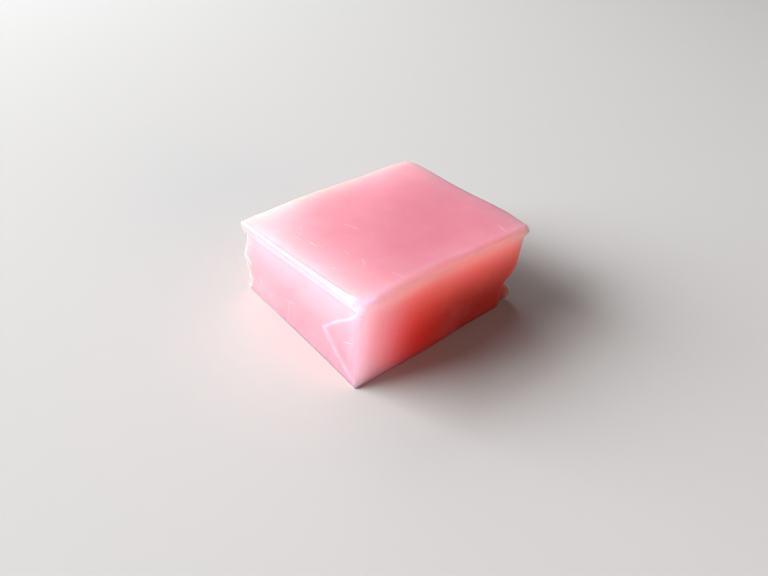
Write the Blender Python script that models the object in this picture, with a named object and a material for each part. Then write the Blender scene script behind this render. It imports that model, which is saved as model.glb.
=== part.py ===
# A cut block of uiro, a steamed rice cake: soft, a little out of true, with torn and smeared corners.
# Metres, +Z up. The block stands on its flat underside, and the origin is the middle of that underside.
# X runs along its long side and Y along its short side.
import bpy
import bmesh
import numpy as np
from mathutils import Matrix

MM = 0.001

# Driving dimensions of the true block
LENGTH = 58.6 * MM
WIDTH = 49.6 * MM
HEIGHT = 24.2 * MM
HALF = np.array((LENGTH / 2, WIDTH / 2, HEIGHT / 2))

# How far each corner of the block is out of true, and the radius of the edges there.
# A corner is named by the side it lies on in X, Y and Z.
CORNER_SHIFTS = {
    (-1, -1, -1): (-0.4 * MM, -0.4 * MM, 0),
    (1, -1, -1): (-0.6 * MM, 0.1 * MM, 0),
    (-1, 1, -1): (0.2 * MM, 1.1 * MM, 0),
    (1, 1, -1): (0, 0.1 * MM, 0),
    (-1, -1, 1): (1.9 * MM, 0.2 * MM, 0.3 * MM),
    (1, -1, 1): (-0.1 * MM, -0.4 * MM, 0.1 * MM),
    (-1, 1, 1): (-0.8 * MM, -0.2 * MM, -0.15 * MM),
    (1, 1, 1): (0.7 * MM, 0.6 * MM, 0.1 * MM),
}
CORNER_RADII = {
    (-1, -1, -1): 0.7 * MM,
    (1, -1, -1): 0.7 * MM,
    (-1, 1, -1): 0.6 * MM,
    (1, 1, -1): 0.7 * MM,
    (-1, -1, 1): 1.9 * MM,
    (1, -1, 1): 1 * MM,
    (-1, 1, 1): 1.0 * MM,
    (1, 1, 1): 1.2 * MM,
}

# Where the grid over the block has its lines: close together at the edges, then at an even pitch
EDGE_LINES = (0.35 * MM, 0.9 * MM, 1.8 * MM, 3.2 * MM)
SIDE_PITCH = 3.2 * MM
HEIGHT_PITCH = 1.6 * MM

# The slab's sides bow: the back one outwards all the way up, and the front one inwards towards the top
BACK_BOW = 0.9 * MM
FRONT_BOW = 0.7 * MM
UNEVENNESS = 0.18 * MM

# The top skin stands over the left and right sides as a lip. Each states its side in X, how far it stands
# out at the front and at the back, and the height that it starts from.
LIPS = (
    {"side": -1, "reach": (0.25 * MM, 0.55 * MM), "height": 21.6 * MM},
    {"side": 1, "reach": (2.8 * MM, 0.6 * MM), "height": 21.4 * MM},
)
LIP_SLOPE = 1.1 * MM
LIP_TAKES_UP = 7 * MM

# Upright edges that tore as the knife was drawn out. Each states its side, the way that it is pushed, how far
# the push reaches along the two sides, how bluntly it ends, and how far the edge stands proud from the bottom
# up, in straight runs. The front right edge is torn away near the ground, and a bead hangs in the tear.
TORN_EDGES = (
    {
        "side": (-1, 1),
        "way": (-0.77, 0.64),
        "reach": (2.6 * MM, 4 * MM),
        "bluntness": 1,
        "heights": (0, 1.5 * MM, 2.6 * MM, 9 * MM, 11.5 * MM, 12.1 * MM, 19.5 * MM, 21.5 * MM, 22.8 * MM),
        "proud": (0, 0.15 * MM, -0.7 * MM, 0, 0, 0.5 * MM, -0.8 * MM, -0.5 * MM, 0),
    },
    {
        "side": (1, -1),
        "way": (0.77, -0.64),
        "reach": (4.2 * MM, 7 * MM),
        "bluntness": 1,
        "heights": (0, 5.4 * MM, 7.5 * MM, 9.6 * MM, 11.6 * MM, 15 * MM, 21 * MM, HEIGHT),
        "proud": (-3.4 * MM, -3.5 * MM, -2.6 * MM, -1.4 * MM, -0.7 * MM, -0.5 * MM, -0.3 * MM, -1.3 * MM),
    },
    {
        "side": (1, -1),
        "way": (0.77, -0.64),
        "reach": (1.9 * MM, 1.9 * MM),
        "bluntness": 2,
        "heights": (0, 0.5 * MM, 1.4 * MM, 2.6 * MM, 3.8 * MM, 4.9 * MM, 5.9 * MM),
        "proud": (1.2 * MM, 2.2 * MM, 2.8 * MM, 2.8 * MM, 2.3 * MM, 1.3 * MM, 0),
    },
    {
        "side": (1, 1),
        "way": (0.7, 0.7),
        "reach": (4 * MM, 4 * MM),
        "bluntness": 1,
        "heights": (0, 3 * MM, 7 * MM, 8.4 * MM, 13 * MM, 17 * MM, 21 * MM, HEIGHT),
        "proud": (0, -0.6 * MM, 0.6 * MM, -0.7 * MM, -0.2 * MM, -0.9 * MM, -0.6 * MM, -1.1 * MM),
    },
)

# The torn bottom corner is lifted off the ground
LIFT = 0.4 * MM
LIFT_REACH = (2.5 * MM, 6 * MM)
LIFT_FADES_AT = 6 * MM

# A smear of the cake, dragged round the front left corner by the knife and left standing on the left side.
# Its outline is given as (Y, Z) on that side, from the top down to the bottom.
SMEAR_OUTLINE = (
    (-23.6 * MM, 24.4 * MM),
    (-22.3 * MM, 20.9 * MM),
    (-16.6 * MM, 16.4 * MM),
    (-10.4 * MM, 10.0 * MM),
    (-15.8 * MM, 6.4 * MM),
    (-24.8 * MM, 0.9 * MM),
)
SMEAR_THICKNESS = 0.5 * MM
SMEAR_SLOPE = 0.5 * MM
SMEAR_FADE = (-24.6 * MM, -20 * MM)

COLOUR = (0.9, 0.45, 0.52, 1)


def clear_scene():
    for piece in list(bpy.data.objects):
        bpy.data.objects.remove(piece)


def new_collection(name):
    collection = bpy.data.collections.new(name)
    bpy.context.scene.collection.children.link(collection)
    return collection


def add_mesh_object(name, bm, collection):
    mesh = bpy.data.meshes.new(name)
    bm.to_mesh(mesh)
    bm.free()
    piece = bpy.data.objects.new(name, mesh)
    collection.objects.link(piece)
    return piece


def grid_lines(low, high, pitch):
    """Places of the grid lines between two opposite sides."""
    first = [low + step for step in EDGE_LINES]
    last = [high - step for step in reversed(EDGE_LINES)]
    count = round((last[0] - first[-1]) / pitch)
    between = [first[-1] + (last[0] - first[-1]) * i / count for i in range(1, count)]
    return first + between + last


def cut(bm, faces, point, normal):
    geometry = {*faces}
    for face in faces:
        geometry.update(face.edges)
        geometry.update(face.verts)
    bmesh.ops.bisect_plane(bm, geom=list(geometry), plane_co=point, plane_no=normal, dist=0.02 * MM)


def cut_smear_lines(bm):
    """Cuts the left side along the foot and the crest of the smear's outline, so that its step is crisp."""
    for start, end in zip(SMEAR_OUTLINE, SMEAR_OUTLINE[1:]):
        along = np.subtract(end, start)
        inward = np.array((along[1], -along[0])) / np.hypot(*along)
        if inward[0] > 0:
            inward = -inward
        low, high = np.minimum(start, end), np.maximum(start, end)
        for offset in (0, SMEAR_SLOPE):
            point = np.array(start) + inward * offset
            faces = []
            for face in bm.faces:
                middle = np.array(face.calc_center_median().yz)
                near = np.all(low - SIDE_PITCH < middle) and np.all(middle < high + SIDE_PITCH)
                if face.normal.x < -0.9 and near:
                    faces.append(face)
            cut(bm, faces, (0, *point), (0, *inward))


def gridded_box():
    bm = bmesh.new()
    bmesh.ops.create_cube(bm, size=1)
    bmesh.ops.scale(bm, vec=(LENGTH, WIDTH, HEIGHT), verts=bm.verts)
    bmesh.ops.translate(bm, vec=(0, 0, HEIGHT / 2), verts=bm.verts)
    spans = (
        (-LENGTH / 2, LENGTH / 2, SIDE_PITCH),
        (-WIDTH / 2, WIDTH / 2, SIDE_PITCH),
        (0, HEIGHT, HEIGHT_PITCH),
    )
    for axis, span in enumerate(spans):
        normal = [0, 0, 0]
        normal[axis] = 1
        for place in grid_lines(*span):
            cut(bm, bm.faces[:], [place * part for part in normal], normal)
    return bm


def smooth_step(value, low, high):
    share = np.clip((value - low) / (high - low), 0, 1)
    return share * share * (3 - 2 * share)


def corner_blend(box, values):
    """Value at each point of the true box, blended in straight lines between the eight corners."""
    share = (box / HALF + 1) / 2
    total = 0
    for corner, value in values.items():
        toward = np.where(np.array(corner) > 0, share, 1 - share)
        total = total + np.prod(toward, axis=1)[:, None] * np.atleast_1d(value)
    return total


def round_edges(box):
    """Each point keeps the length of its step out of the inner box, and turns that step round the edge."""
    radius = corner_blend(box, CORNER_RADII)
    inner = np.clip(box, -(HALF - radius), HALF - radius)
    step = box - inner
    length = np.linalg.norm(step, axis=1, keepdims=True)
    return inner + radius * step / length


def bow_sides(points, box):
    along, across, up = (box / HALF).T
    crown = 1 - along**2
    rise = (up + 1) / 2
    points[:, 1] += BACK_BOW * crown * (across + 1) / 2
    points[:, 1] += FRONT_BOW * crown * rise * (1 - across) / 2
    wave_x = np.sin(along * 4.1 + up * 1.7) * np.cos(across * 3.3 - up)
    wave_y = np.sin(across * 3.7 - up * 2.1) * np.cos(along * 4.6 + 1)
    wave_z = np.sin(along * 3.9 + 0.6) * np.cos(across * 4.4 - 0.5) * rise
    points += UNEVENNESS * np.stack((wave_x, wave_y, wave_z), axis=1)


def add_lips(points, box):
    share = (box[:, 1] + HALF[1]) / WIDTH
    for lip in LIPS:
        front, back = lip["reach"]
        high = smooth_step(box[:, 2] + HALF[2], lip["height"], lip["height"] + LIP_SLOPE)
        near = smooth_step(box[:, 0] * lip["side"], HALF[0] - LIP_TAKES_UP, HALF[0])
        points[:, 0] += lip["side"] * (front + (back - front) * share) * high * near


def tear_edges(points, box):
    """Pushes each torn edge in or out, and fades the push as a bell curve of the distance along the sides."""
    for edge in TORN_EDGES:
        proud = np.interp(box[:, 2] + HALF[2], edge["heights"], edge["proud"])
        away = HALF[:2] - box[:, :2] * np.array(edge["side"])
        fade = np.exp(-(np.sum((away / np.array(edge["reach"])) ** 2, axis=1) ** edge["bluntness"]))
        points[:, :2] += (proud * fade)[:, None] * np.array(edge["way"])


def lift_corner(points, box):
    away = np.hypot(HALF[0] - box[:, 0], HALF[1] + box[:, 1])
    low = 1 - smooth_step(box[:, 2] + HALF[2], 0, LIFT_FADES_AT)
    points[:, 2] += LIFT * low * (1 - smooth_step(away, *LIFT_REACH))


def depth_inside(outline, y, z):
    """Distance to an open outline, positive on the side of the corner that the smear goes round."""
    nearest = np.full(y.shape, np.inf)
    inside = np.zeros(y.shape, dtype=bool)
    for (y0, z0), (y1, z1) in zip(outline, outline[1:]):
        run, rise = y1 - y0, z1 - z0
        share = np.clip(((y - y0) * run + (z - z0) * rise) / (run**2 + rise**2), 0, 1)
        nearest = np.minimum(nearest, np.hypot(y - y0 - run * share, z - z0 - rise * share))
        level = (z <= z0) & (z > z1)
        inside |= level & (y < y0 + run * (z - z0) / rise)
    return np.where(inside, nearest, 0)


def add_smear(points, box):
    y, z = box[:, 1], box[:, 2] + HALF[2]
    height = np.clip(depth_inside(SMEAR_OUTLINE, y, z) / SMEAR_SLOPE, 0, 1)
    left = box[:, 0] < -HALF[0] + EDGE_LINES[0] / 2
    points[:, 0] -= SMEAR_THICKNESS * height * left * smooth_step(y, *SMEAR_FADE)


def shape_block(piece):
    mesh = piece.data
    flat = np.empty(len(mesh.vertices) * 3, dtype=np.float32)
    mesh.vertices.foreach_get("co", flat)
    box = flat.reshape(-1, 3).astype(float)
    box[:, 2] -= HEIGHT / 2
    points = round_edges(box)
    points += corner_blend(box, CORNER_SHIFTS)
    bow_sides(points, box)
    add_lips(points, box)
    tear_edges(points, box)
    add_smear(points, box)
    points[:, 2] += HEIGHT / 2
    points[box[:, 2] < -HALF[2] + EDGE_LINES[0] / 4, 2] = 0
    lift_corner(points, box)
    mesh.vertices.foreach_set("co", points.astype(np.float32).ravel())
    mesh.update()


def centre_on_ground(piece):
    low, high = np.array(piece.bound_box).min(axis=0), np.array(piece.bound_box).max(axis=0)
    middle = (low + high) / 2
    piece.data.transform(Matrix.Translation((-middle[0], -middle[1], -low[2])))


def cake_material():
    material = bpy.data.materials.new("pink uiro")
    material.use_nodes = True
    shader = material.node_tree.nodes["Principled BSDF"]
    shader.inputs["Base Color"].default_value = COLOUR
    shader.inputs["Roughness"].default_value = 0.3
    shader.inputs["Metallic"].default_value = 0
    shader.inputs["Subsurface Weight"].default_value = 1
    shader.inputs["Subsurface Radius"].default_value = (9 * MM, 3 * MM, 3 * MM)
    shader.inputs["Subsurface Scale"].default_value = 1
    return material


def main():
    clear_scene()
    cake = new_collection("uiro")
    bm = gridded_box()
    cut_smear_lines(bm)
    bmesh.ops.triangulate(bm, faces=bm.faces)
    block = add_mesh_object("uiro_block", bm, cake)
    shape_block(block)
    centre_on_ground(block)
    block.data.materials.append(cake_material())
    block.data.shade_smooth()
    block.data.set_sharp_from_angle(angle=0.6)


main()
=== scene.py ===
import bpy
import numpy as np
from mathutils import Matrix, Vector


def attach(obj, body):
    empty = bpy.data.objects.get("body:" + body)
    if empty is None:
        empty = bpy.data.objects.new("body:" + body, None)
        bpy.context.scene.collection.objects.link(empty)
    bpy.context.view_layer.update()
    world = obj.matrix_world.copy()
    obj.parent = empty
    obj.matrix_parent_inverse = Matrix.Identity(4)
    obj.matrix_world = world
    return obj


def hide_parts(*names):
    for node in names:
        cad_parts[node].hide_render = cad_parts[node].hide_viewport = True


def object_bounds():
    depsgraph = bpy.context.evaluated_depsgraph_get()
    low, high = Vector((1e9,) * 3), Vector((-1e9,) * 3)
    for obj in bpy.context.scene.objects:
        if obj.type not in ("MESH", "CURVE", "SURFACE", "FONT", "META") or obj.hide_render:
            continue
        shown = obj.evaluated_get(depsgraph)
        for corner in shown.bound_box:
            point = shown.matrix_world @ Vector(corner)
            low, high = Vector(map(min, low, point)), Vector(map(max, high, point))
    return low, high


mm = 0.001

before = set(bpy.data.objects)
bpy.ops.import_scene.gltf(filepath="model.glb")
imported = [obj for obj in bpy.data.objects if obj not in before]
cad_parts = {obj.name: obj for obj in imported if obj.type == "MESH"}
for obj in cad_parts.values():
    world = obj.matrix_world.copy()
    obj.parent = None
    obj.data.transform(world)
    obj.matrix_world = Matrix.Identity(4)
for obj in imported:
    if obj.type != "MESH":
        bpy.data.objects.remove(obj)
cadLow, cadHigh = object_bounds()
print("frame loaded:", ", ".join(sorted(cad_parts)))


# The block, in millimetres. A corner is named by the side it lies on in X, Y and Z.
block = {
    "size": (58.6, 49.6, 24.2),
    "cornerShifts": {
        (-1, -1, -1): (-0.4, -0.4, 0),
        (1, -1, -1): (-0.6, 0.1, 0),
        (-1, 1, -1): (0.2, 1.1, 0),
        (1, 1, -1): (0, 0.1, 0),
        (-1, -1, 1): (1.9, 0.2, 0.3),
        (1, -1, 1): (-0.1, -0.4, 0.1),
        (-1, 1, 1): (-0.8, -0.2, -0.15),
        (1, 1, 1): (0.7, 0.6, 0.1),
    },
    "cornerRadii": {
        (-1, -1, -1): 0.7,
        (1, -1, -1): 0.7,
        (-1, 1, -1): 0.6,
        (1, 1, -1): 0.7,
        (-1, -1, 1): 1.0,
        (1, -1, 1): 1.0,
        (-1, 1, 1): 0.7,
        (1, 1, 1): 1.2,
    },
    "finePitch": 0.15,  # between the grid's lines at the edges
    "openPitch": 0.5,  # and in the middle of a side
    "pitchGrows": (1.3, 6.24),  # from the one to the other, over these distances in from an edge
    "backBow": 0.9,
    "frontBow": 0.7,
    "unevenness": 0.18,
    # What moves a point in X, Y and Z is a sine times a cosine, each of a sum: so many radians from the
    # middle to a side along, across and up, and a start
    "waves": (
        ((4.1, 0, 1.7, 0), (0, 3.3, -1, 0)),
        ((0, 3.7, -2.1, 0), (4.6, 0, 0, 1)),
        ((3.9, 0, 0, 0.6), (0, 4.4, 0, -0.5)),
    ),
}

# A side, and also an edge of another side, is named by an axis and an end of it
topSide, leftSide, backSide, frontSide, rightSide = (2, 1), (0, -1), (1, 1), (1, -1), (0, 1)
onSide = 1e-6  # a point this close to a side counts as on it

# The top edge on the left is pared to a flat, narrow at the back, that flares at the front and ends in a hook
facet = {
    "bluntness": 1.12,  # 2 gives a round edge, 1 a straight cut
    "places": (-24.8, -22.0, -20.4, -17.6, -12.0, 0.0, 25.0),
    "radii": (1.4, 1.2, 1.7, 1.05, 0.7, 0.55, 0.4),
    "startsAt": (-21.0, -20.2),  # along Y
    "reach": (2, 3),  # in from the edge
    "turned": (0.05, 0.25),  # it is where both the outward and the upward turn are larger than this
    "frontTurn": (0.1, 0.4),  # and past its end the skin is torn, unless it is turned this far to the front
}

# The top edge at the front is worn rounder than the others
wornEdge = {"places": (-29.3, -24.0, 0.0, 22.0, 29.3), "radii": (2.2, 2.8, 2.9, 2.4, 1.2)}
edgeReach = (4, 7)  # in from the pared and the worn edge, the radius goes back to that of the block's corners

# The top skin stands over the left and right sides as a lip
lips = (
    {"side": -1, "reach": (0.25, 0.55), "height": (21.6, 20.4), "slope": 0.6},
    {"side": 1, "reach": (2.8, 0.6), "height": (21.4, 21.4), "slope": 1.1},
)
lipTakesUp = 7.0  # how far in from the side the top skin is drawn out with it
lipShadeLine = {"side": -1, "drop": 0.1, "halfWidth": 0.4}  # a thin line of painted shade under that lip

# Upright edges that tore as the knife was drawn out: how far each stands proud from the bottom up
tornEdges = (
    {
        "side": (-1, 1),
        "way": (-0.77, 0.64),
        "reach": (2.6, 4.0),
        "bluntness": 1,
        "grain": 1,
        "heights": (0, 1.5, 2.6, 9, 11.5, 12.1, 19.5, 21.5, 22.8),
        "proud": (0, 0.15, -0.7, 0, 0, 0.5, -0.8, -0.5, 0),
    },
    {
        "side": (1, -1),
        "way": (0.77, -0.64),
        "reach": (4.2, 7.0),
        "bluntness": 1,
        "grain": 1,
        "heights": (0, 5.4, 7.5, 9.6, 11.6, 15, 21, 22.9, 23.5, 24.2),
        "proud": (-3.4, -3.5, -2.6, -1.4, -0.7, -0.5, -0.3, -0.8, -1.3, -1.1),
        "nib": {"heights": (21.5, 23.0), "reach": (0.2, 1.4)},  # the tip of the lip that is left over it
    },
    {
        "side": (1, -1),
        "way": (0.77, -0.64),
        "reach": (1.9, 1.9),
        "bluntness": 2,
        "grain": 0,
        "heights": (0, 0.5, 1.4, 2.6, 3.8, 4.9, 5.9),
        "proud": (1.1, 1.9, 2.4, 2.4, 2.0, 1.2, 0),
        "bead": (0.3, 1.8),  # proud enough to be the bead that hangs in the tear
    },
    {
        "side": (-1, -1),
        "way": (-0.7, -0.7),
        "reach": (1.6, 1.6),
        "bluntness": 1,
        "grain": 0,
        "heights": (0, 3, 20, 23),
        "proud": (0, -0.55, -0.55, 0),
    },
    {
        "side": (1, 1),
        "way": (0.7, 0.7),
        "reach": (4.0, 4.0),
        "bluntness": 1,
        "grain": 1,
        "heights": (0, 3, 7, 8.4, 13, 17, 21, 24.2),
        "proud": (0, -0.6, 0.6, -0.7, -0.2, -0.9, -0.6, -1.1),
    },
)
tornRelief = {"height": 0.16, "grain": 0.9, "seed": 5, "facing": 15}
flatUpTo = 0.09  # the lowest part of the rounding is pressed flat on the floor
lift = {"height": 0.4, "reach": (2.5, 6.0), "fadesAt": 6.0}  # the torn bottom corner is lifted off it

# Painted light: near an edge, the glow of the window's light through the cake is painted into the colour,
# to a pale pink on the lit sides and to salmon on the dark ones. The paleness falls as
# exp(-(distance/reach)^power), and may start only some way in from the edge.
paleGlowBands = (
    {"side": topSide, "edge": leftSide, "strength": 0.82, "reach": 9.5, "power": 1.3, "startsAt": 1.8},
    {"side": topSide, "edge": backSide, "strength": 0.62, "reach": 11.0, "power": 1.3, "startsAt": 2.0},
    {"side": topSide, "edge": rightSide, "strength": 0.06, "reach": 2.0, "power": 1.0},
    {"side": topSide, "edge": frontSide, "strength": 0.20, "reach": 6.0, "power": 1.5},
    {"side": leftSide, "edge": topSide, "strength": 0.88, "reach": 9.0, "power": 1.0, "startsAt": 1.8},
    {"side": leftSide, "edge": backSide, "strength": 0.25, "reach": 12.0, "power": 2.0},
    {"side": backSide, "edge": topSide, "strength": 0.45, "reach": 9.0, "power": 1.0, "startsAt": 1.8},
    {"side": backSide, "edge": leftSide, "strength": 0.25, "reach": 12.0, "power": 2.0},
)
# Painted light on the dark sides: a salmon glow along the edges, where light comes through the cake
salmonGlowBands = (
    {"side": frontSide, "edge": topSide, "strength": 0.88, "reach": 4.5, "power": 1.5},
    {"side": frontSide, "edge": leftSide, "strength": 0.40, "reach": 8.5, "power": 2.0, "startsAt": 1.5},
    {"side": rightSide, "edge": topSide, "strength": 0.50, "reach": 3.2, "power": 1.0},
)
deeperCorner = {"strength": 0.6, "reach": 6.0}  # the painted glow is weaker along the back left upright edge

# Painted light: the window's light that comes round the front left upright edge through the cake is painted
# as a lilac tint. It thins out as exp(-(distance/reach)^power) on both sides, has less strength on the left,
# and loses some towards the foot.
wrap = {
    "onFront": {"reach": 7.5, "power": 1.6},
    "onLeft": {"reach": 3.2, "power": 2},
    "leftShare": 0.45,
    "turnsOver": 1.5,  # to that share, over this distance either way from the edge
    "footLoss": 0.45,
    "footFrom": 19,  # below the top
}

# Finer painted light and shade at the edges: a painted glow keeps the front top edge's rounding pale towards
# the front left corner, painted light runs in a narrow band along the top at that edge, and painted shade
# makes the two edges that the window lights from behind a deeper pink
glow = {"along": 20.0, "across": 2.6}
brimLight = {"middle": 0.3, "reach": 1.3}
backlitShade = {"topReach": 1.8, "uprightReach": 1.6}

# The smear on the left side, dragged round the front corner: its outline as (Y, Z), from the top down
smear = {
    "upper": ((-23.6, 24.4), (-22.3, 20.9), (-19.4, 18.5), (-16.6, 16.3), (-13.6, 13.3), (-10.5, 10.1)),
    "lower": ((-10.5, 10.1), (-12.2, 9.3), (-15.8, 6.4), (-20.0, 3.6), (-24.8, 0.9)),
    "thickness": 0.26,
    "slope": 0.45,  # the distance in which it comes up to its thickness
    "upperRim": (0.17, 0.32),  # height and half width
    "lowerRim": (0.32, 1.05),
    "rimInset": 0.8,  # of its half width
    "fade": (-24.8, -21.5),  # along Y
    "drawIn": (0.75, 1.6),  # how strongly, and from how far, the grid is drawn to the outline
    "drawFades": (0.2, 3),  # towards the side's own edges
}


def smoothStep(value, low, high):
    share = np.clip((value - low) / (high - low), 0, 1)
    return share * share * (3 - 2 * share)


# Distance in from the side that is at that end of that axis
def inFrom(side, box, half):
    axis, end = side
    return half[axis] - end * box[:, axis]


# Lines between two sides: the pitch grows smoothly from the fine one at the ends to the open one in the
# middle, and the lines stand where the running sum of 1/pitch passes whole numbers
def gridLines(length, samples=4001):
    places = np.linspace(0, length, samples)
    toEnd = np.minimum(places, length - places)
    share = smoothStep(toEnd, *block["pitchGrows"])
    pitch = block["finePitch"] + (block["openPitch"] - block["finePitch"]) * share
    count = np.concatenate(([0], np.cumsum((1 / pitch)[1:] * np.diff(places))))
    whole = np.linspace(0, count[-1], int(round(count[-1])) + 1)
    return np.interp(whole, count, places) - length / 2


# Six grids of two parameters over the true box. Each point has a lattice number, which the grids that meet
# at an edge share, so the surface closes without seams. Returns the points and the four corners of each face.
def boxSurface():
    lines = [gridLines(length) for length in block["size"]]
    counts = [len(line) for line in lines]
    numbers, faces = [], []
    for axis in range(3):
        first, second = (axis + 1) % 3, (axis + 2) % 3
        u, v = np.meshgrid(np.arange(counts[first]), np.arange(counts[second]), indexing="ij")
        for end in (0, counts[axis] - 1):
            place = [None, None, None]
            place[axis], place[first], place[second] = np.full(u.shape, end), u, v
            number = (place[0] * counts[1] + place[1]) * counts[2] + place[2]
            quad = np.stack((number[:-1, :-1], number[1:, :-1], number[1:, 1:], number[:-1, 1:]), axis=-1)
            if end == 0:
                quad = quad[..., ::-1]  # so that it faces outwards
            numbers.append(number.ravel())
            faces.append(quad.reshape(-1, 4))
    unique = np.unique(np.concatenate(numbers))
    faces = np.searchsorted(unique, np.concatenate(faces))
    x, rest = np.divmod(unique, counts[1] * counts[2])
    y, z = np.divmod(rest, counts[2])
    points = np.stack((lines[0][x], lines[1][y], lines[2][z]), axis=1)
    return points, faces


# Trilinear blend of a value between the eight corners
def cornerBlend(box, values):
    share = (box / (np.array(block["size"]) / 2) + 1) / 2
    total = 0
    for corner, value in values.items():
        toward = np.where(np.array(corner) > 0, share, 1 - share)
        total = total + np.prod(toward, axis=1)[:, None] * np.atleast_1d(value)
    return total


# Smooth value noise: random numbers on a cubic lattice, blended with smooth steps, from -1 to 1
def valueNoise(points, size, seed, cells=32):
    table = np.random.default_rng(seed).uniform(-1, 1, (cells, cells, cells))
    at = points / size
    cell = np.floor(at).astype(int)
    part = at - cell
    part = part * part * (3 - 2 * part)
    total = np.zeros(len(points))
    for i in (0, 1):
        for j in (0, 1):
            for k in (0, 1):
                corner = (cell + (i, j, k)) % cells
                weight = np.prod(np.abs(1 - np.array((i, j, k)) - part), axis=1)
                total += weight * table[corner[:, 0], corner[:, 1], corner[:, 2]]
    return total


# Nearest distance from (y, z) to a line of straight runs, and the unit vector towards it
def toLine(y, z, line):
    nearest = np.full(y.shape, np.inf)
    towardY, towardZ = np.zeros(y.shape), np.zeros(y.shape)
    for (y0, z0), (y1, z1) in zip(line, line[1:]):
        run, rise = y1 - y0, z1 - z0
        share = np.clip(((y - y0) * run + (z - z0) * rise) / (run**2 + rise**2), 0, 1)
        offY, offZ = y0 + run * share - y, z0 + rise * share - z
        distance = np.hypot(offY, offZ)
        closer = distance < nearest
        nearest = np.where(closer, distance, nearest)
        towardY, towardZ = np.where(closer, offY, towardY), np.where(closer, offZ, towardZ)
    length = np.maximum(nearest, 1e-9)
    return nearest, towardY / length, towardZ / length


# Inside the smear: below its upper line and in front of its lower one
def insideSmear(y, z):
    outline = smear["upper"] + smear["lower"][1:]
    inside = np.zeros(y.shape, dtype=bool)
    for (y0, z0), (y1, z1) in zip(outline, outline[1:]):
        level = (z <= z0) & (z > z1)
        inside |= level & (y < y0 + (y1 - y0) * (z - z0) / (z1 - z0))
    return inside


# The grid's points on the left side slide towards the smear's outline, so its edges come out crisp:
# each goes a share of its distance, which fades as a bell curve of that distance
def drawToSmear(box, half):
    onLeft = inFrom(leftSide, box, half) < onSide
    strength, reach = smear["drawIn"]
    y, z = box[:, 1], box[:, 2] + half[2]
    distance, towardY, towardZ = toLine(y, z, smear["upper"] + smear["lower"][1:])
    edge = smoothStep(half[1] - np.abs(y), *smear["drawFades"])
    edge *= smoothStep(half[2] - np.abs(box[:, 2]), *smear["drawFades"])
    slide = onLeft * edge * strength * distance * np.exp(-(distance / reach) ** 2)
    box[:, 1] += slide * towardY
    box[:, 2] += slide * towardZ


# A step out of the inner box is turned round the edge: its length is measured with the power sum
# |a|^p + |b|^p + |c|^p, where p is 2 for a round edge and near 1 for a pared one. Returns the points, and
# how far each is on the pared flat and past its end, from the smaller of its outward and upward turns.
def roundEdges(box, half):
    radius = cornerBlend(box, block["cornerRadii"])
    fromTop = inFrom(topSide, box, half)
    for edge, side, along in ((wornEdge, frontSide, 0), (facet, leftSide, 1)):
        near = 1 - smoothStep(np.maximum(inFrom(side, box, half), fromTop), *edgeReach)
        radius += (near * (np.interp(box[:, along], edge["places"], edge["radii"]) - radius[:, 0]))[:, None]
    inner = np.clip(box, -(half - radius), half - radius)
    step = box - inner
    pared = 1 - smoothStep(inFrom(leftSide, box, half), *facet["reach"])
    pared *= 1 - smoothStep(fromTop, *facet["reach"])
    flat = smoothStep(box[:, 1], *facet["startsAt"])
    power = 2 - (2 - facet["bluntness"]) * (pared * flat)[:, None]
    length = np.sum(np.abs(step) ** power, axis=1, keepdims=True) ** (1 / power)
    turn = step / length
    pared *= smoothStep(np.minimum(-turn[:, 0], turn[:, 2]), *facet["turned"])
    pastFlat = (1 - flat) * (1 - smoothStep(-turn[:, 1], *facet["frontTurn"]))
    return inner + radius * turn, pared * flat, pared * pastFlat


# The front and the back bow as a parabola along the block, and slow waves make all the sides but the
# underside uneven
def bowSides(points, box, half):
    along, across, up = (box / half).T
    crown = 1 - along**2
    rise = (up + 1) / 2
    points[:, 1] += block["backBow"] * crown * (across + 1) / 2
    points[:, 1] += block["frontBow"] * crown * rise * (1 - across) / 2
    place = np.stack((along, across, up, np.ones(len(box))), axis=1)
    for axis, (sine, cosine) in enumerate(block["waves"]):
        wave = np.sin(place @ np.array(sine)) * np.cos(place @ np.array(cosine))
        points[:, axis] += block["unevenness"] * wave * (rise if axis == 2 else 1)


# The skin near the top steps out by a smooth step of the height.
# Returns a bell curve around one lip's lower edge, the mask of a painted shade line.
def addLips(points, box, half):
    line = 0
    share = (box[:, 1] + half[1]) / (2 * half[1])
    for lip in lips:
        front, back = lip["reach"]
        height = lip["height"][0] + (lip["height"][1] - lip["height"][0]) * share
        high = smoothStep((box[:, 2] + half[2] - height) / lip["slope"], 0, 1)
        near = smoothStep(box[:, 0] * lip["side"], half[0] - lipTakesUp, half[0])
        points[:, 0] += lip["side"] * (front + (back - front) * share) * high * near
        if lip["side"] == lipShadeLine["side"]:
            above = box[:, 2] + half[2] - height + lipShadeLine["drop"]
            line = (inFrom(leftSide, box, half) < onSide) * np.exp(-(above / lipShadeLine["halfWidth"]) ** 2)
    return line


# Each torn edge is pushed in or out, and the push fades as a bell curve of the distance along the sides
def tearEdges(points, box, half):
    torn, nib, bead = np.zeros((3, len(points)))
    for edge in tornEdges:
        proud = np.interp(box[:, 2] + half[2], edge["heights"], edge["proud"])
        inward = half[:2] - box[:, :2] * np.array(edge["side"])
        fade = np.exp(-(np.sum((inward / np.array(edge["reach"])) ** 2, axis=1) ** edge["bluntness"]))
        points[:, :2] += (proud * fade)[:, None] * np.array(edge["way"])
        torn = np.maximum(torn, fade * edge["grain"])
        if "nib" in edge:
            nib = fade**2 * smoothStep(box[:, 2] + half[2], *edge["nib"]["heights"])
            nib *= 1 - smoothStep(inward[:, 0], *edge["nib"]["reach"])
        if "bead" in edge:
            bead = fade * smoothStep(proud, *edge["bead"])
    return torn, nib, bead


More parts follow.
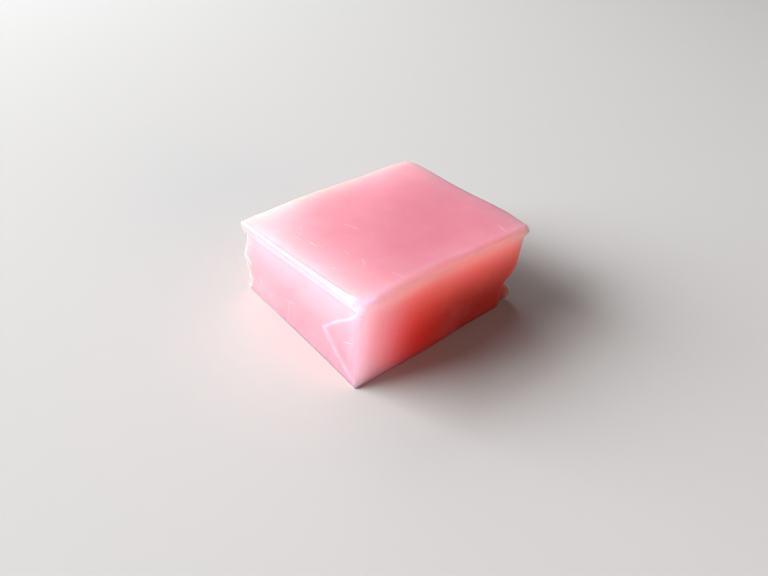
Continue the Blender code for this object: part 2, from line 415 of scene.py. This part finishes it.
# A smooth step of the distance from the front right upright edge, fading with the height
def liftCorner(points, box, half):
    distance = np.hypot(inFrom(rightSide, box, half), inFrom(frontSide, box, half))
    low = 1 - smoothStep(box[:, 2] + half[2], 0, lift["fadesAt"])
    points[:, 2] += lift["height"] * low * (1 - smoothStep(distance, *lift["reach"]))


# The smear stands a little proud of the side, and its edge is a rounded rim: a bell curve of the distance
def addSmear(points, box, half):
    y, z = box[:, 1], box[:, 2] + half[2]
    fade = (inFrom(leftSide, box, half) < onSide) * smoothStep(y, *smear["fade"])
    distance = toLine(y, z, smear["upper"] + smear["lower"][1:])[0]
    inside = insideSmear(y, z)
    plateau = smear["thickness"] * smoothStep(np.where(inside, distance, 0), 0, smear["slope"])
    rise, rim = np.zeros((2, len(points)))
    for line, (height, width) in ((smear["upper"], smear["upperRim"]), (smear["lower"], smear["lowerRim"])):
        near = toLine(y, z, line)[0]
        bell = np.exp(-(np.where(inside, near, -near) / width - smear["rimInset"]) ** 2)
        rise, rim = np.maximum(rise, height * bell), np.maximum(rim, bell)
    points[:, 0] -= (plateau + rise * inside) * fade
    return inside * fade, rim * fade


# Painted glow towards the edges: on one side the bands of its edges combine as 1 - (1 - a)(1 - b),
# and two sides meet at the larger value
def glowTowardsEdges(box, half, bands):
    total = np.zeros(len(box))
    for side in (topSide, leftSide, backSide, frontSide, rightSide):
        rest = np.ones(len(box))
        for band in bands:
            if band["side"] == side:
                distance = inFrom(band["edge"], box, half)
                paleGlow = band["strength"] * np.exp(-(distance / band["reach"]) ** band["power"])
                if "startsAt" in band:
                    paleGlow *= smoothStep(distance, 0, band["startsAt"])
                rest *= 1 - paleGlow
        total = np.maximum(total, (1 - rest) * (inFrom(side, box, half) < onSide))
    toUpright = np.hypot(inFrom(leftSide, box, half), inFrom(backSide, box, half))
    return total * (1 - deeperCorner["strength"] * np.exp(-(toUpright / deeperCorner["reach"]) ** 2))


# The masks of the finer painted light and shade, from the distances in from the sides: bell curves, and the
# painted wrapped light's own powers
def edgeShades(box, half):
    fromLeft, fromFront = inFrom(leftSide, box, half), inFrom(frontSide, box, half)
    fromBack, below = inFrom(backSide, box, half), inFrom(topSide, box, half)
    onFront, onLeft = wrap["onFront"], wrap["onLeft"]
    share = smoothStep(fromLeft - fromFront, -wrap["turnsOver"], wrap["turnsOver"])
    share = wrap["leftShare"] + (1 - wrap["leftShare"]) * share
    thinness = (fromLeft / onFront["reach"]) ** onFront["power"]
    thinness += (fromFront / onLeft["reach"]) ** onLeft["power"]
    lilacLight = share * np.exp(-thinness)
    lilacLight *= 1 - wrap["footLoss"] * smoothStep(below, wrap["footFrom"], half[2] * 2)
    topBack = np.exp(-(np.maximum(fromBack, below) / backlitShade["topReach"]) ** 2)
    upright = np.exp(-(np.maximum(fromBack, fromLeft) / backlitShade["uprightReach"]) ** 2)
    across = np.maximum(fromFront, below)
    return {
        "lilacLight": lilacLight,
        "backlitShade": np.maximum(topBack, upright),
        "glow": np.exp(-(fromLeft / glow["along"]) ** 2 - (across / glow["across"]) ** 2),
        "brimLight": (below < onSide) * np.exp(-((fromFront - brimLight["middle"]) / brimLight["reach"]) ** 2),
        "below": below,
    }


# The true box is rounded, bowed and torn step by step. Torn grain stands out along the direction that a point
# faces, which the power "facing" of its place in the box gives. Returns the points, the faces and the masks.
def shapeBlock():
    half = np.array(block["size"]) / 2
    box, faces = boxSurface()
    drawToSmear(box, half)
    points, onFacet, pastFacet = roundEdges(box, half)
    points += cornerBlend(box, block["cornerShifts"])
    bowSides(points, box, half)
    line = addLips(points, box, half)
    torn, nib, bead = tearEdges(points, box, half)
    smeared, rim = addSmear(points, box, half)
    outward = (box / half) ** tornRelief["facing"]
    outward /= np.maximum(np.linalg.norm(outward, axis=1, keepdims=True), 1e-9)
    grain = valueNoise(points, tornRelief["grain"], tornRelief["seed"]) * torn**2
    points += outward * (tornRelief["height"] * grain)[:, None]
    points[:, 2] += half[2]
    points[box[:, 2] < -half[2] + flatUpTo, 2] = 0
    liftCorner(points, box, half)
    masks = {
        "paleGlow": glowTowardsEdges(box, half, paleGlowBands),
        "salmonGlow": glowTowardsEdges(box, half, salmonGlowBands),
        "lipShadeLine": line,
        "facet": onFacet,
        "pastFacet": pastFacet,
        "torn": torn,
        "nib": nib,
        "bead": bead,
        "film": smeared,
        "rim": rim,
    }
    return points, faces, masks | edgeShades(box, half)


def meshPiece(name, points, faces, attributes):
    mesh = bpy.data.meshes.new(name)
    mesh.vertices.add(len(points))
    mesh.vertices.foreach_set("co", points.astype(np.float32).ravel())
    mesh.loops.add(faces.size)
    mesh.loops.foreach_set("vertex_index", faces.astype(np.int32).ravel())
    mesh.polygons.add(len(faces))
    mesh.polygons.foreach_set("loop_start", np.arange(0, faces.size, 4, dtype=np.int32))
    for label, values in attributes.items():
        mesh.attributes.new(label, "FLOAT", "POINT").data.foreach_set("value", values.astype(np.float32))
    mesh.update(calc_edges=True)
    mesh.shade_smooth()
    piece = bpy.data.objects.new(name, mesh)
    bpy.context.scene.collection.objects.link(piece)
    return piece


points, faces, masks = shapeBlock()
low, high = points.min(axis=0), points.max(axis=0)
cadMiddle = (np.array(cadLow) + np.array(cadHigh)) / 2 / mm
points[:, :2] += cadMiddle[:2] - (low + high)[:2] / 2
uiro = meshPiece("uiro", points * mm, faces, masks)
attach(uiro, "root")
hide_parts("uiro_block")
print("block:", len(points), "points,", 2 * len(faces), "triangles")


# Wraps one output socket: arithmetic on it adds Math nodes
class Wire:
    def __init__(self, tree, socket=None):
        self.tree = tree
        self.socket = socket

    # Adds a node of that type. Settings are set first, then each socket gets its value or its wire.
    def node(self, kind, settings=None, sockets=None, output=0):
        made = self.tree.nodes.new(kind)
        for name, value in (settings or {}).items():
            setattr(made, name, value)
        for name, value in (sockets or {}).items():
            if isinstance(value, Wire):
                self.tree.links.new(value.socket, made.inputs[name])
            else:
                made.inputs[name].default_value = value
        return Wire(self.tree, made.outputs[output])

    def math(self, operation, *values):
        return self.node("ShaderNodeMath", {"operation": operation}, dict(enumerate(values)))

    def __add__(self, other):
        return self.math("ADD", self, other)

    def __sub__(self, other):
        return self.math("SUBTRACT", self, other)

    def __rsub__(self, other):
        return self.math("SUBTRACT", other, self)

    def __mul__(self, other):
        return self.math("MULTIPLY", self, other)

    __radd__ = __add__
    __rmul__ = __mul__

    def ramp(self, low, high, start=0.0, end=1.0):  # smooth step between low and high
        sockets = {"Value": self, "From Min": low, "From Max": high, "To Min": start, "To Max": end}
        return self.node("ShaderNodeMapRange", {"interpolation_type": "SMOOTHSTEP"}, sockets)

    def tint(self, first, second):  # blend of two colours by this value
        sockets = {0: self, 6: first, 7: second}
        return self.node("ShaderNodeMix", {"data_type": "RGBA"}, sockets, 2)


cake = {
    "skin": (0.65, 0.255, 0.31, 1),
    # painted shade: the front's skin is a shaded copy of the top's, deep red where the window's light doesn't
    # fall
    "shadedFrontSkin": (0.88, 0.150, 0.115, 1),
    "shadedSkinBetween": (0, 1.5),  # below the top, the front's painted shaded skin takes over from the top's
    "litDeepBack": (1.0, 0.24, 0.28, 1),  # painted light: a lit copy of the colour, low on the back and left sides
    "shadedDeepFront": (0.88, 0.040, 0.026, 1),  # painted shade: a shaded copy, low on the front and right sides
    "darkerShadedDeep": (0.30, 0.021, 0.013, 1),  # and a darker painted shade further to the right
    "deepBetween": (1.0, 19.0),  # below the top
    "diagonal": (0.707, -0.707, 0),  # the way from the back left to the front right
    "frontBetween": (-4 * mm, 12 * mm),  # along it, from the lit back's painted colours to the shaded front's
    "rightBetween": (0 * mm, 24 * mm),
    "footBetween": (21.5, 24.2),  # below the top, along the lit sides' lowest part, where painted light warms the floor's shade
    "roughness": 0.3,
    "scatter": (24 * mm, 14 * mm, 9 * mm),
    "scatterShare": 0.85,
    "index": 1.38,
    "coat": 0.15,
    "coatRoughness": 0.15,
}

# The tints that lie over the cake, and how strongly each is laid on
tints = {
    "film": (0.78, 0.20, 0.25, 1),  # the smear's film
    # paleGlow and salmonGlow are painted light: the glow of light through the cake near its edges
    "paleGlow": (0.93, 0.61, 0.67, 1),
    "salmonGlow": (0.93, 0.52, 0.56, 1),
    # brimLight is painted light along the top's front edge; backlitShade is painted shade on the edges lit
    # from behind
    "brimLight": (0.98, 0.43, 0.51, 1),
    "backlitShade": (0.60, 0.22, 0.27, 1),
    # lilacLight: painted light that wraps round the front left upright edge
    "lilacLight": (0.90, 0.60, 0.78, 1),
    # foot: painted light, a warmer pink against the shade along the lit sides' lowest part
    "foot": (1.0, 0.38, 0.40, 1),
    "torn": (0.62, 0.15, 0.27, 1),
    # nib: painted light, the glow of light through the thin tip of the lip
    "nib": (1.0, 0.50, 0.48, 1),
    # bead: painted shade that darkens the bead hanging in the tear
    "bead": (0.12, 0.055, 0.06, 1),
    "scratchAndGlint": (0.98, 0.66, 0.73, 1),
    # facet: a painted highlight, near white, where the pared flat mirrors the window
    "facet": (0.97, 0.92, 0.93, 1),
}
cover = {
    "film": 0.8,
    "clouds": 0.25,
    "brimLight": 0.6,
    "glow": 0.75,
    "backlitShade": 0.8,
    "lilacLight": 0.98,
    "foot": 0.6,
    "torn": 0.45,
    "lipShadeLine": 0.15,
    "rim": 0.25,
    "pastFacet": 0.3,
}

# Noises as size in millimetres, detail and roughness, and what they and the tears do to the finish
surface = {
    "cloud": (7, 3, 0.5),
    "grain": (0.55, 4, 0.6),
    "swirl": (2.4, 2, 0.5),
    "tornPower": 10.0,  # keeps the torn tint close to the torn edges
    "cloudRoughness": 0.05,
    "tornRoughness": 0.12,
    "swirlHeight": 0.10,
    "grainHeight": 0.15,
    "bumpStrength": 0.5,
    "bumpDistance": 0.6 * mm,
}

# Fine scratches and specks, and two painted glints, in millimetres in the row frame:
# (start, end, half width, strength).
# On the top they are given as (X, Y), on the left side as (Y, Z).
marks = {
    "top": (
        ((-9.7, 6.2), (-8.3, 2.0), 0.20, 0.5),
        ((-19.7, 11.9), (-20.3, 11.2), 0.45, 0.35),
        ((-23.3, 8.3), (-23.1, 6.8), 0.40, 0.4),
        ((-21.8, 4.4), (-21.7, 2.3), 0.45, 0.8),
        ((-21.7, 2.3), (-20.6, 1.0), 0.30, 0.6),
        ((-17.0, -3.9), (-17.4, -5.9), 0.35, 0.25),
        ((-24.1, -8.3), (-23.5, -8.8), 0.35, 0.6),
        ((-16.1, -10.0), (-17.2, -11.7), 0.45, 0.4),
        ((-13.8, -18.7), (-12.9, -21.8), 0.22, 0.3),
        ((23.3, -19.3), (22.8, -22.7), 0.25, 0.4),
    ),
    "left": (
        ((5.4, 8.2), (2.1, 9.0), 0.25, 0.4),
        ((4.0, 8.5), (5.1, 0.9), 0.30, 0.35),
        ((-20.1, 11.6), (-23.5, 13.3), 0.22, 0.6),
        # painted highlights: the last two on the left are glints of light, painted pale
        ((23.5, 12.1), (22.3, 10.5), 0.50, 0.8),
        ((18.0, 8.2), (17.4, 6.2), 0.60, 0.3),
    ),
    "topHeight": 24.4,
    "leftPlace": -29.2,
    "throughSide": 0.05,  # distances through the side count this much
    "raised": 0.35,
}


def uiroMaterial():
    material = bpy.data.materials.new("pink uiro")
    material.use_nodes = True
    tree = material.node_tree
    shader = tree.nodes["Principled BSDF"]
    wire = Wire(tree)
    place = wire.node("ShaderNodeTexCoord", output="Object")

    def attribute(name):
        return wire.node("ShaderNodeAttribute", {"attribute_name": name}, output="Fac")

    def noise(size, detail, roughness):  # from about -0.5 to 0.5
        sockets = {"Vector": place, "Scale": 1 / (size * mm), "Detail": detail, "Roughness": roughness}
        return wire.node("ShaderNodeTexNoise", {"noise_dimensions": "3D"}, sockets) - 0.5

    def vector(operation, sockets, output=0):
        return wire.node("ShaderNodeVectorMath", {"operation": operation}, sockets, output)

    # How much a mark covers: its strength on the segment between its ends, falling to 0 at its half width.
    # The distance is the length of what is left of the offset from the start, once its share along the
    # segment is taken away.
    def markCover(start, end, halfWidth, strength, flat):
        start, along = Vector(start) * mm * flat, (Vector(end) - Vector(start)) * mm * flat
        offset = vector("SUBTRACT", {0: vector("MULTIPLY", {0: place, 1: flat}), 1: start})
        share = vector("DOT_PRODUCT", {0: offset, 1: along / along.length_squared}, "Value")
        share = share.math("MINIMUM", share.math("MAXIMUM", share, 0.0), 1.0)
        rest = vector("DISTANCE", {0: offset, 1: vector("SCALE", {0: along, "Scale": share})}, "Value")
        return rest.ramp(0, halfWidth * mm, strength, 0)

    topHeight, leftPlace = marks["topHeight"], marks["leftPlace"]
    top, left = Vector((1, 1, marks["throughSide"])), Vector((marks["throughSide"], 1, 1))
    scratchesAndGlints = [markCover((*a, topHeight), (*b, topHeight), *rest, top) for a, b, *rest in marks["top"]]
    scratchesAndGlints += [markCover((leftPlace, *a), (leftPlace, *b), *rest, left) for a, b, *rest in marks["left"]]
    marked = scratchesAndGlints[0]
    for each in scratchesAndGlints[1:]:
        marked = marked.math("MAXIMUM", marked, each)

    cloud, grain, swirl = (noise(*surface[name]) for name in ("cloud", "grain", "swirl"))
    below, torn = attribute("below"), attribute("torn")
    # Painted light and shade: lit copies of the colour at the back left give way to shaded copies at the
    # front right
    across = vector("DOT_PRODUCT", {0: place, 1: cake["diagonal"]}, "Value")
    front = across.ramp(*cake["frontBetween"])
    shallow = (front * below.ramp(*cake["shadedSkinBetween"])).tint(cake["skin"], cake["shadedFrontSkin"])
    deep = front.tint(cake["litDeepBack"], cake["shadedDeepFront"])
    deep = across.ramp(*cake["rightBetween"]).tint(deep, cake["darkerShadedDeep"])
    base = below.ramp(*cake["deepBetween"]).tint(shallow, deep)
    foot = below.ramp(*cake["footBetween"]) * (1 - front) * (1 - front)
    layers = (
        (attribute("film") * cover["film"], "film"),
        (attribute("paleGlow") + cloud * cover["clouds"], "paleGlow"),
        (attribute("salmonGlow"), "salmonGlow"),
        (attribute("brimLight") * cover["brimLight"], "brimLight"),
        (attribute("glow") * cover["glow"], "paleGlow"),
        (attribute("backlitShade") * cover["backlitShade"], "backlitShade"),
        (attribute("lilacLight") * cover["lilacLight"], "lilacLight"),
        (foot * cover["foot"], "foot"),
        (torn.math("POWER", torn, surface["tornPower"]) * cover["torn"], "torn"),
        # painted shade: a darker line under the left lip
        (attribute("lipShadeLine") * cover["lipShadeLine"], "torn"),
        (attribute("nib"), "nib"),
        (attribute("bead"), "bead"),
        # painted highlight: the smear's rims are painted paler where they catch the light
        (attribute("rim") * cover["rim"], "scratchAndGlint"),
        (marked, "scratchAndGlint"),
        # the pared flat gets its painted highlight
        (attribute("facet"), "facet"),
        (attribute("pastFacet") * cover["pastFacet"], "torn"),
    )
    for share, name in layers:
        base = share.tint(base, tints[name])
    roughness = cake["roughness"] + cloud * surface["cloudRoughness"] + torn * surface["tornRoughness"]
    relief = swirl * surface["swirlHeight"] + torn * grain * surface["grainHeight"] + marked * marks["raised"]
    sockets = {"Height": relief, "Strength": surface["bumpStrength"], "Distance": surface["bumpDistance"]}
    bump = wire.node("ShaderNodeBump", sockets=sockets)

    tree.links.new(base.socket, shader.inputs["Base Color"])
    tree.links.new(roughness.socket, shader.inputs["Roughness"])
    tree.links.new(bump.socket, shader.inputs["Normal"])
    shader.subsurface_method = "RANDOM_WALK"
    shader.inputs["Subsurface Weight"].default_value = cake["scatterShare"]
    shader.inputs["Subsurface Radius"].default_value = cake["scatter"]
    shader.inputs["Subsurface Scale"].default_value = 1
    shader.inputs["IOR"].default_value = cake["index"]
    shader.inputs["Coat Weight"].default_value = cake["coat"]
    shader.inputs["Coat Roughness"].default_value = cake["coatRoughness"]
    return material


uiro.data.materials.append(uiroMaterial())
print("material done")


# Stage: a pale matt floor, a window-like softbox at the back left, and weak light from all round. The window
# is two lamps in one place, because the glossy skin mirrors only a share of it.
stage = {
    "floorSize": 4.0,
    "floorColour": (0.509, 0.585, 0.545, 1),
    "floorRoughness": 0.9,
    "floorSheen": 0.1,
    "lightColour": (1.12, 0.98, 1.05),
    "skyStrength": 0.03,
}
window = {"way": (-0.65, 0.64, 0.47), "distance": 1.6, "size": (1.5, 1.1), "colour": stage["lightColour"]}
windowPower, mirroredShare = 73.0, 0.3
lamps = (
    {"name": "window", "power": windowPower * mirroredShare, "mirrored": True} | window,
    {"name": "veiled window", "power": windowPower * (1 - mirroredShare), "mirrored": False} | window,
    {
        "name": "back",
        "way": (0.074, 0.845, 0.53),
        "distance": 1.2,
        "size": (1.0, 0.5),
        "colour": stage["lightColour"],
        "power": 5.5,
        "mirrored": True,
    },
    {
        "name": "fill",
        "way": (0.1, -0.95, 0.14),
        "distance": 1.2,
        "size": (0.8, 0.6),
        "colour": (1.7, 0.98, 0.9),
        "power": 6.0,
        "mirrored": False,
    },
)


def addFloor():
    reach = stage["floorSize"] / 2
    corners = ((-reach, -reach, 0), (reach, -reach, 0), (reach, reach, 0), (-reach, reach, 0))
    mesh = bpy.data.meshes.new("floor")
    mesh.from_pydata(corners, [], [(0, 1, 2, 3)])
    floor = bpy.data.objects.new("floor", mesh)
    bpy.context.scene.collection.objects.link(floor)
    material = bpy.data.materials.new("floor")
    material.use_nodes = True
    shader = material.node_tree.nodes["Principled BSDF"]
    shader.inputs["Base Color"].default_value = stage["floorColour"]
    shader.inputs["Roughness"].default_value = stage["floorRoughness"]
    shader.inputs["Specular IOR Level"].default_value = stage["floorSheen"]
    mesh.materials.append(material)
    return floor


# A softbox that far from the origin along its way, turned to face it
def addSoftbox(lamp):
    light = bpy.data.lights.new(lamp["name"], "AREA")
    light.shape = "RECTANGLE"
    light.size, light.size_y = lamp["size"]
    light.energy = lamp["power"]
    light.color = lamp["colour"]
    softbox = bpy.data.objects.new(lamp["name"], light)
    way = Vector(lamp["way"]).normalized()
    turn = way.to_track_quat("Z", "Y").to_matrix().to_4x4()
    softbox.matrix_world = Matrix.Translation(way * lamp["distance"]) @ turn
    softbox.visible_glossy = lamp["mirrored"]
    bpy.context.scene.collection.objects.link(softbox)


addFloor()
for lamp in lamps:
    addSoftbox(lamp)
world = bpy.data.worlds.new("studio")
bpy.context.scene.world = world
world.use_nodes = True
background = world.node_tree.nodes["Background"]
background.inputs["Color"].default_value = (*stage["lightColour"], 1)
background.inputs["Strength"].default_value = stage["skyStrength"]
bpy.context.scene.view_settings.view_transform = "Standard"

# Camera at the photograph's viewing angle, in the row frame
shot = {
    "place": (-98.239, -110.778, 117.364),
    "right": (0.76661, -0.64097, 0.03829),
    "up": (0.37230, 0.49228, 0.78680),
    "forward": (0.52316, 0.58891, -0.61602),
    "lens": 30.1,
    "sensor": 36,
    "nearest": 0.01,
}
cameraData = bpy.data.cameras.new("camera")
cameraData.lens = shot["lens"]
cameraData.sensor_width = shot["sensor"]
cameraData.clip_start = shot["nearest"]
camera = bpy.data.objects.new("camera", cameraData)
turn = Matrix((shot["right"], shot["up"], [-part for part in shot["forward"]])).transposed()
camera.matrix_world = Matrix.Translation([part * mm for part in shot["place"]]) @ turn.to_4x4()
bpy.context.scene.collection.objects.link(camera)
bpy.context.scene.camera = camera
print("stage, light and camera done")
